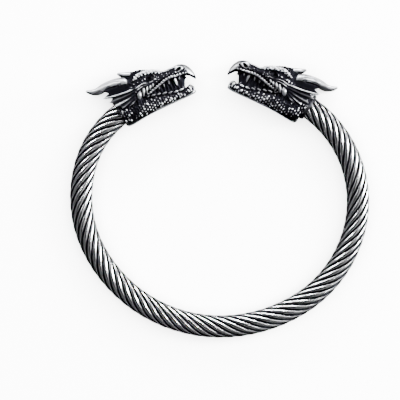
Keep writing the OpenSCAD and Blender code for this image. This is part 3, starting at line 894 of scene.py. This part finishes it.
def grime(u, v, w):
    """Relief that grime fills: some on jaw, neck, snout and crown, less than none on belly and horn tops."""
    over_belly = v - at_place(JAW, u, BOTTOM_EDGE)
    jaw = soft(at_place(JAW, u, TOP) - v, 0.1, 0.5) * soft(over_belly, 0.35, 0.7)
    neck = soft(u, 5.5, 3.5) * soft(v, 4.5, 3.5)
    snout = band(u, 11, 12, 16.6, 17.4) * band(v, 3.1, 3.4, 4.4, 4.7)
    crown = soft(v, 5.0, 5.6) * band(u, 3.8, 5, 12.4, 13.4)
    belly = soft(over_belly, 0.45, 0.15) * soft(u, 0.6, 1.2)
    small_horn = band(u, 3.0, 3.3, 6.4, 6.9) * soft(v - at_place(SMALL_HORN, u, HEIGHT), -0.3, 0)
    large_horn = soft(u, 5.2, 4.8) * soft(v - at_place(LARGE_HORN, u, HEIGHT), -0.3, 0.2) * soft(w, 1.9, 2.2)
    bare = np.max([belly, small_horn, large_horn], axis=0)
    filled = np.max([JAW_GRIME * jaw, NECK_GRIME * neck, SNOUT_GRIME * snout, CROWN_GRIME * crown], axis=0)
    return filled * (1 - bare) - BARE_RELIEF * bare


def frill_painted_shade(u, v, w, side):
    """Painted shade on the frill's skin, and on its ribs by how dull each is."""
    bare = np.zeros(len(u))
    for root, tip, dull in zip(np.array(FRILL_ROOTS), np.array(FRILL_TIPS), RIB_PAINTED_SHADE[side]):
        t, off = along_line(u, v, root, tip)
        bare = np.maximum(bare, (1 - dull) * (1 - soft(off + 0.12 * (1 - t), 0.2, 0.42)))
    frill = (1 - bare) * soft(-distance_to_polygon(u, v, frill_outline()), -0.3, 0.1) * soft(w, 2.9, 3.2)
    return frill * (1 - 0.3 * soft(u, 0.0, -1.6))


# Painted shadow on the nape's skin behind the large horn
def nape_painted_shadow(u, v, w):
    return (soft(distance_to_polygon(u, v, nape_outline()), 0.25, -0.05) * soft(w, 3.95, 3.8)
            * soft(v, 7.3, 7.0))


def mouth_painted_shade(u, v, w):
    """Painted shade between the lips: all of the middle, and most of the sides behind the long tooth."""
    between = soft(v - at_place(JAW, u, TOP), -0.6, -0.2) * soft(at_place(LIP, u, HEIGHT) - v, -0.6, 0.2)
    return band(u, 7, 8, 18.6, 18.9) * between * np.maximum(soft(w, 1.62, 1.47), 0.75 * soft(u, 15.2, 14.7))


def neck_patina(u, v, w, side):
    """Black on the neck's end, round the rope."""
    along, off = along_and_off(u, v, w, side)
    return soft(along, 1.1, 0.6) * (u < 4) * soft(off - BORE_R, 1.1, 0.8) * 0.95


def beak_painted_shade(u, v):
    """Painted shade under the beak's hook, a dark line along its upper edge and tip, and a thin dark veil
    over it all.
    """
    over_hook = v - at_place(SKULL, u, BOTTOM_EDGE) - 0.4 * soft(u, 19.0, 19.8)
    under = soft(over_hook, 0.8, 0.5)
    upper_edge = soft(v - at_place(SKULL, u, TOP), -0.5, -0.2) * 0.75
    tip = soft(u, 20.4, 20.8) * 0.5
    veil = np.full(len(u), 0.2)
    return soft(u, 17.8, 18.4) * (v > -0.6) * np.max([under, upper_edge, tip, veil], axis=0)


def large_horn_painted_shade(u, v, side):
    """Painted shade along the horn's underside with a wavy edge, grey on its top, and streaks between them.
    """
    off_axis = (v - at_place(LARGE_HORN, u, HEIGHT)) / at_place(LARGE_HORN, u, HALF_HEIGHT)
    wave = 0.3 * np.sin(2.3 * u + 1.0)
    under = soft(HORN_SHADE_REACH[side] - off_axis + wave, 0.0, 0.45) * 0.85
    top = soft(off_axis, 0.55, 0.9) * 0.6
    streaks = soft(np.cos(9.0 * off_axis + 0.8 * np.sin(1.7 * u)), 0.5, 0.95) * soft(u, -2.0, 0.0) * 0.45
    return soft(u, 5.0, 4.2) * soft(v, 6.3, 6.6) * np.max([under, top, streaks], axis=0)


def small_horn_painted_shade(u, v, w):
    """Painted shade along the horn's underside and a little grey on its top."""
    off_axis = v - at_place(SMALL_HORN, u, HEIGHT)
    shade = np.maximum(soft(off_axis, -0.1, -0.35) * 0.9, soft(off_axis, 0.5, 0.7) * 0.35)
    return band(u, 3.2, 3.5, 6.5, 7.0) * soft(v, 7.4, 7.8) * soft(w, 2.5, 2.3) * shade


def cheek_patina(u, v, w):
    return band(u, 6.9, 7.1, 11.0, 11.4) * band(v, 1.1, 1.4, 3.6, 3.9) * soft(w, 2.7, 2.9) * 0.45


def held_patina_and_painted_shade(u, v, w, side):
    """How much black, of patina and of painted shade, stays on each point whatever the form."""
    parts = [frill_painted_shade(u, v, w, side), nape_painted_shadow(u, v, w), mouth_painted_shade(u, v, w),
             neck_patina(u, v, w, side), beak_painted_shade(u, v), large_horn_painted_shade(u, v, side),
             small_horn_painted_shade(u, v, w), cheek_patina(u, v, w)]
    for centre, size, fade, black in SHADE_SPOTS:
        away = np.hypot((u - centre[0]) / size[0], (v - centre[1]) / size[1])
        parts.append(soft(away, 1, 1 - fade) * black)
    return np.max(parts, axis=0)


def make_head(side, material):
    head = sculpt_head(side)
    whole = np.concatenate([head.field[:, :, ::-1], head.field], axis=2)
    cells, quads = surface_of(whole)
    # The fine blur stands for patina in small hollows; the wide blur paints shade deep in wide hollows
    relief = sample(blurred(whole, FINE_BLUR), cells) + WIDE_SHADE_SHARE * sample(blurred(whole, WIDE_SHADE_BLUR), cells)
    u = head.u[0] + cells[:, 0] * CELL
    v = head.v[0] + cells[:, 1] * CELL
    w = (cells[:, 2] - len(head.w) + 0.5) * CELL
    if side == "right":
        quads = quads[:, ::-1]
    relief -= grime(u, v, np.abs(w))
    # The patina attribute holds the held patina and painted shade, black whatever the form
    piece = make_mesh(f"casting_{side}", to_world(head_to_ring(np.stack([u, v, w], axis=-1), side)), quads,
                      {"relief": relief, "patina": held_patina_and_painted_shade(u, v, np.abs(w), side)})
    piece.data.materials.append(material)
    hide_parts(f"dragon_head_{side}")
    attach(piece, "root")


# Materials

STEEL = (0.9, 0.9, 0.91, 1.0)
WORN_STEEL = (0.72, 0.73, 0.76, 1.0)
CAST_BRIGHT = (0.66, 0.67, 0.69, 1.0)
CAST_DULL = (0.4, 0.41, 0.44, 1.0)
CORE_STEEL = (0.05, 0.05, 0.055, 1.0)
# Black of the patina, and of the painted shade on the heads
PATINA_AND_SHADE_BLACK = (0.005, 0.005, 0.007, 1.0)
PATINA_AND_SHADE_EDGE = (0.03, 0.03, 0.035, 1.0)
WHITE = (1.0, 1.0, 1.0, 1.0)
FLOOR = (0.93, 0.93, 0.93, 1.0)
PATINA_ROUGH = 0.5
GRAIN_ROUGH = 0.12
GRAIN_DEPTH_METRES = 0.00004

# Where patina, and on the heads painted shade, ends and steel is bare: how far a wire's side faces out of the
# rope, and how high relief is
WIRE_CLEAN = (0.68, 0.88)
HEAD_CLEAN = (0.08, 0.2)

# Roughness of bare steel, and the scale of the marks that drawing leaves along a wire and round it
WIRE_POLISH = 0.17
HEAD_POLISH = 0.27
DRAWN_SCALE = (0.35, 9.0, 1.0)


class Nodes:
    """Short names for building the nodes of a material or of the world."""

    def __init__(self, owner, output):
        self.owner = owner
        owner.use_nodes = True
        self.tree = owner.node_tree
        self.tree.nodes.clear()
        self.output = self.add(output)

    def add(self, kind, inputs=None, **settings):
        node = self.tree.nodes.new(kind)
        for key, value in settings.items():
            setattr(node, key, value)
        for key, value in (inputs or {}).items():
            if isinstance(value, bpy.types.NodeSocket):
                self.tree.links.new(value, node.inputs[key])
            else:
                node.inputs[key].default_value = value
        return node

    def math(self, operation, a, b):
        return self.add("ShaderNodeMath", {0: a, 1: b}, operation=operation).outputs[0]

    def spread(self, value, low, high, to_low=0.0, to_high=1.0):
        node = self.add("ShaderNodeMapRange", {"Value": value, "From Min": low, "From Max": high,
                                               "To Min": to_low, "To Max": to_high},
                        interpolation_type="SMOOTHSTEP")
        return node.outputs[0]

    def noise(self, vector, scale, detail=3.0):
        return self.add("ShaderNodeTexNoise", {"Vector": vector, "Scale": scale, "Detail": detail}).outputs[0]

    def clouded(self, value, vector, scale, amount):
        """A value with soft noise added to it, up and down."""
        cloud = self.math("SUBTRACT", self.noise(vector, scale), 0.5)
        return self.math("ADD", value, self.math("MULTIPLY", cloud, amount))

    def mix(self, factor, a, b):
        """A mix of two colours; the node's other sockets are for numbers and vectors."""
        return self.add("ShaderNodeMix", {0: factor, 6: a, 7: b}, data_type="RGBA").outputs[2]

    def attribute(self, name):
        return self.add("ShaderNodeAttribute", attribute_name=name).outputs["Fac"]

    def scaled(self, vector, scale):
        return self.add("ShaderNodeMapping", {"Vector": vector, "Scale": scale}).outputs[0]

    def object_place(self):
        """Places on a piece in millimetres."""
        return self.scaled(self.add("ShaderNodeTexCoord").outputs["Object"], (MM_PER_METRE,) * 3)

    def finish(self, kind, inputs):
        """Puts the shader in, and gives back the material or world."""
        self.tree.links.new(self.add(kind, inputs).outputs[0], self.output.inputs["Surface"])
        return self.owner


def new_material(name):
    return Nodes(bpy.data.materials.new(name), "ShaderNodeOutputMaterial")


def antique_steel(n, clean, grain, dull, bright, polish):
    """Black patina, and on the heads painted shade too, where clean is 0, and worn bare steel where it is 1.
    """
    colour = n.mix(clean, PATINA_AND_SHADE_BLACK, n.mix(grain, dull, bright))
    edge = n.mix(clean, PATINA_AND_SHADE_EDGE, WHITE)
    rough = n.math("ADD", n.spread(clean, 0, 1, PATINA_ROUGH, polish), n.math("MULTIPLY", grain, GRAIN_ROUGH))
    bump = n.add("ShaderNodeBump", {"Height": grain, "Strength": 0.25, "Distance": GRAIN_DEPTH_METRES})
    return n.finish("ShaderNodeBsdfPrincipled", {"Base Color": colour, "Roughness": rough, "Metallic": 1.0,
                                                 "Specular Tint": edge, "Normal": bump.outputs[0]})


def wire_material():
    """Steel that is worn bare on the outside of the rope, and black in the valleys."""
    n = new_material("rope_steel")
    along = n.add("ShaderNodeUVMap", uv_map="along").outputs[0]
    drawn = n.noise(n.scaled(along, DRAWN_SCALE), 1.0, 4.0)
    facing = n.clouded(n.attribute("facing"), n.object_place(), 0.9, 0.35)
    return antique_steel(n, n.spread(facing, *WIRE_CLEAN), drawn, WORN_STEEL, STEEL, WIRE_POLISH)


def head_material():
    """Steel that is worn bare on what is raised, black with patina in the hollows and with painted shade deep
    in wide ones, and black where patina and painted shade are held.
    """
    n = new_material("cast_steel")
    place = n.object_place()
    height = n.clouded(n.attribute("relief"), place, 1.3, 0.2)
    # worn is where neither patina nor painted shade is held
    worn = n.math("SUBTRACT", 1.0, n.attribute("patina"))
    clean = n.math("MULTIPLY", n.spread(height, *HEAD_CLEAN), worn)
    return antique_steel(n, clean, n.noise(place, 2.5, 5.0), CAST_DULL, CAST_BRIGHT, HEAD_POLISH)


def core_material():
    n = new_material("core_steel")
    grain = n.noise(n.object_place(), 3.0)
    rough = n.spread(grain, 0, 1, 0.4, 0.7)
    return n.finish("ShaderNodeBsdfPrincipled", {"Base Color": n.mix(grain, PATINA_AND_SHADE_BLACK, CORE_STEEL),
                                                 "Roughness": rough, "Metallic": 1.0})


def floor_material():
    n = new_material("pale_floor")
    return n.finish("ShaderNodeBsdfPrincipled", {"Base Color": FLOOR, "Roughness": 0.8})


# Stage, lamps and camera

FLOOR_HALF_METRES = 1.5
STUDIO_COLOUR = (0.97, 0.985, 1.0, 1.0)
STUDIO_STRENGTH = 0.4

# Lamps: place and size in metres, power in watts, and whether the steel mirrors them
LAMPS = {
    "key_right": ((0.54, 0.15, 0.28), (0.16, 0.5), 26.0, True),
    "back": ((0.05, 0.55, 0.26), (0.5, 0.12), 12.0, True),
    "back_left": ((-0.4, 0.4, 0.26), (0.25, 0.12), 6.0, True),
    "overhead": ((0.0, 0.0, 1.1), (1.6, 1.6), 190.0, False)}


def make_floor():
    half = FLOOR_HALF_METRES
    floor = make_mesh("floor", [(-half, -half, 0), (half, -half, 0), (half, half, 0), (-half, half, 0)],
                      [(0, 1, 2, 3)])
    floor.data.materials.append(floor_material())
    floor.visible_glossy = False


def make_lamp(name, place, size, power, mirrored):
    """A rectangular lamp that shines at the ring."""
    light = bpy.data.lights.new(name, "AREA")
    light.shape = "RECTANGLE"
    light.size, light.size_y = size
    light.energy = power
    lamp = new_object(name, light)
    lamp.location = place
    lamp.rotation_euler = (-lamp.location).to_track_quat("-Z", "Y").to_euler()
    lamp.visible_glossy = mirrored


def make_world():
    """A studio that is dark straight above and below, and pale all round, palest to the right and behind."""
    n = Nodes(bpy.data.worlds.new("studio"), "ShaderNodeOutputWorld")
    direction = n.add("ShaderNodeTexCoord").outputs["Generated"]
    x, y, z = n.add("ShaderNodeSeparateXYZ", {"Vector": direction}).outputs
    below_top = n.spread(z, 0.5, 0.75, 1.0, 0.004)
    above_floor = n.spread(z, -0.1, 0.25, 0.03, 1.0)
    aside = n.math("ADD", n.math("MULTIPLY", x, 0.65), n.math("MULTIPLY", y, 0.65))
    side = n.spread(aside, -0.6, 0.55, 0.5, 1.0)
    shade = n.math("MULTIPLY", n.math("MULTIPLY", below_top, above_floor), side)
    strength = n.math("MULTIPLY", shade, STUDIO_STRENGTH)
    world = n.finish("ShaderNodeBackground", {"Color": STUDIO_COLOUR, "Strength": strength})
    bpy.context.scene.world = world


def make_camera():
    """A camera straight above, for which the ring's middle plane has the photograph's scale and place."""
    x = (PHOTO_W / 2 - RING_PX[0]) * MM_PER_PX
    y = (RING_PX[1] - PHOTO_W / 2) * MM_PER_PX
    data = bpy.data.cameras.new("camera")
    data.sensor_width = SENSOR_MM
    above_ring = CAMERA_HEIGHT_METRES - REST_HEIGHT / MM_PER_METRE
    data.lens = SENSOR_MM * above_ring / (PHOTO_W * MM_PER_PX / MM_PER_METRE)
    data.clip_start = CAMERA_CLIP_METRES
    camera = new_object("camera", data)
    camera.location = (x / MM_PER_METRE, y / MM_PER_METRE, CAMERA_HEIGHT_METRES)
    bpy.context.scene.camera = camera


make_camera()
make_floor()
make_world()
for lamp_name, lamp_values in LAMPS.items():
    make_lamp(lamp_name, *lamp_values)

steel = wire_material()
for wire_number in range(WIRE_COUNT):
    make_wire(wire_number, steel)
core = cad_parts["cable_core"]
core.data.materials.clear()
core.data.materials.append(core_material())
cast = head_material()
for head_side in NECKS:
    make_head(head_side, cast)
